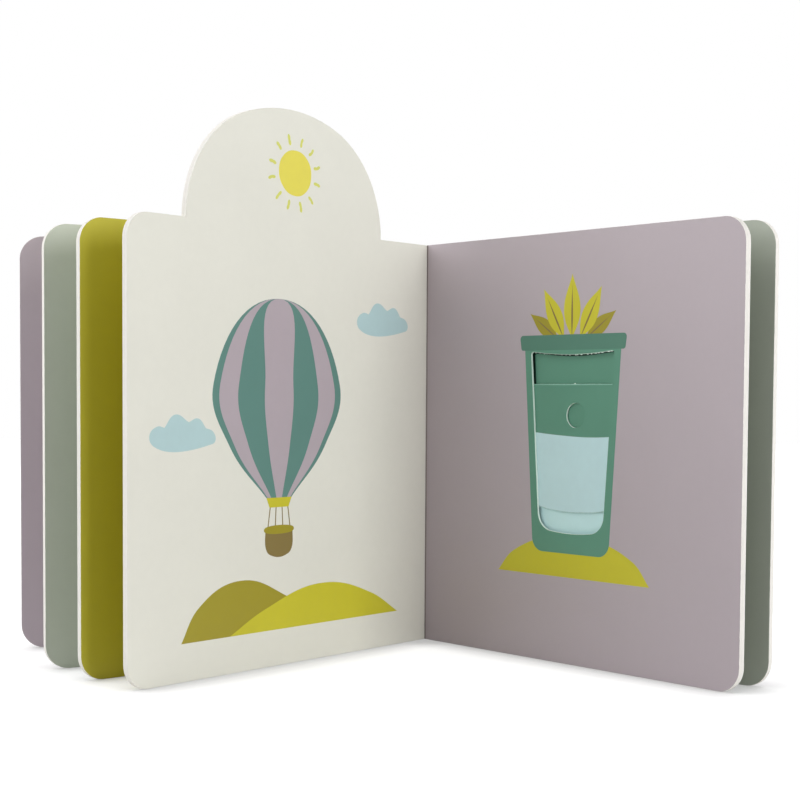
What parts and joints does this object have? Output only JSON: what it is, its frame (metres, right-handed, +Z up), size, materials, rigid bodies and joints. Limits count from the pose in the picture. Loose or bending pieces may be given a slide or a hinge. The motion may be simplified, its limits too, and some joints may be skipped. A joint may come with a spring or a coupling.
{
  "type": "activity board book",
  "caption": "Square activity board book, standing open on its tail edges, with an arched tab above a leaf and a card that slides behind a tapered window.",
  "frame": {"origin": "foot of the gutter fold between leaf 3 and the slide leaf, on the plane of the tail edges", "axes": "+Z up the fold, +X to the reader's right along the opened book, +Y away from the reader"},
  "size_m": [0.3101, 0.1465, 0.2286],
  "materials": {
    "mauve_cover_board": "satin laminated print over white board",
    "sage_cover_board": "satin laminated print over white board",
    "sage_leaf_board": "satin laminated print over white board",
    "olive_leaf_board": "satin laminated print over white board",
    "cream_leaf_board": "satin laminated print over white board",
    "mauve_window_board": "satin laminated print over white board",
    "inner_board": "bare white board",
    "teal_card": "satin laminated print over white card",
    "cover_wrap": "satin laminated paper",
    "folded_sheet": "bare white board"
  },
  "bodies": {
    "pages": {"leaf_1": "sage_leaf_board", "leaf_2": "olive_leaf_board", "leaf_3": "cream_leaf_board", "slide_window_panel": "mauve_window_board", "slide_spacer": "inner_board", "slide_backing": "inner_board", "front_cover_fold": "folded_sheet", "back_cover_fold": "folded_sheet", "cover_spine": "cover_wrap"},
    "front_cover": {"front_cover": "mauve_cover_board"},
    "back_cover": {"back_cover": "sage_cover_board"},
    "slide_card": {"slide_card": "teal_card"}
  },
  "joints": [
    {"name": "front_cover_hinge", "type": "hinge", "parent": "pages", "child": "front_cover", "pos_m": [-0.00506, 0.00584, 0], "axis": [0, 0, 1], "range_deg": [-117, 18], "deforming": ["front_cover_fold", "cover_spine"]},
    {"name": "back_cover_hinge", "type": "hinge", "parent": "pages", "child": "back_cover", "pos_m": [0.00226, 0.00197, 0], "axis": [0, 0, 1], "range_deg": [-5, 117], "deforming": ["back_cover_fold", "cover_spine"]},
    {"name": "slide_card_slide", "type": "slide", "parent": "pages", "child": "slide_card", "axis": [0, 0, 1], "range_m": [-0.038, 0.015]}
  ]
}
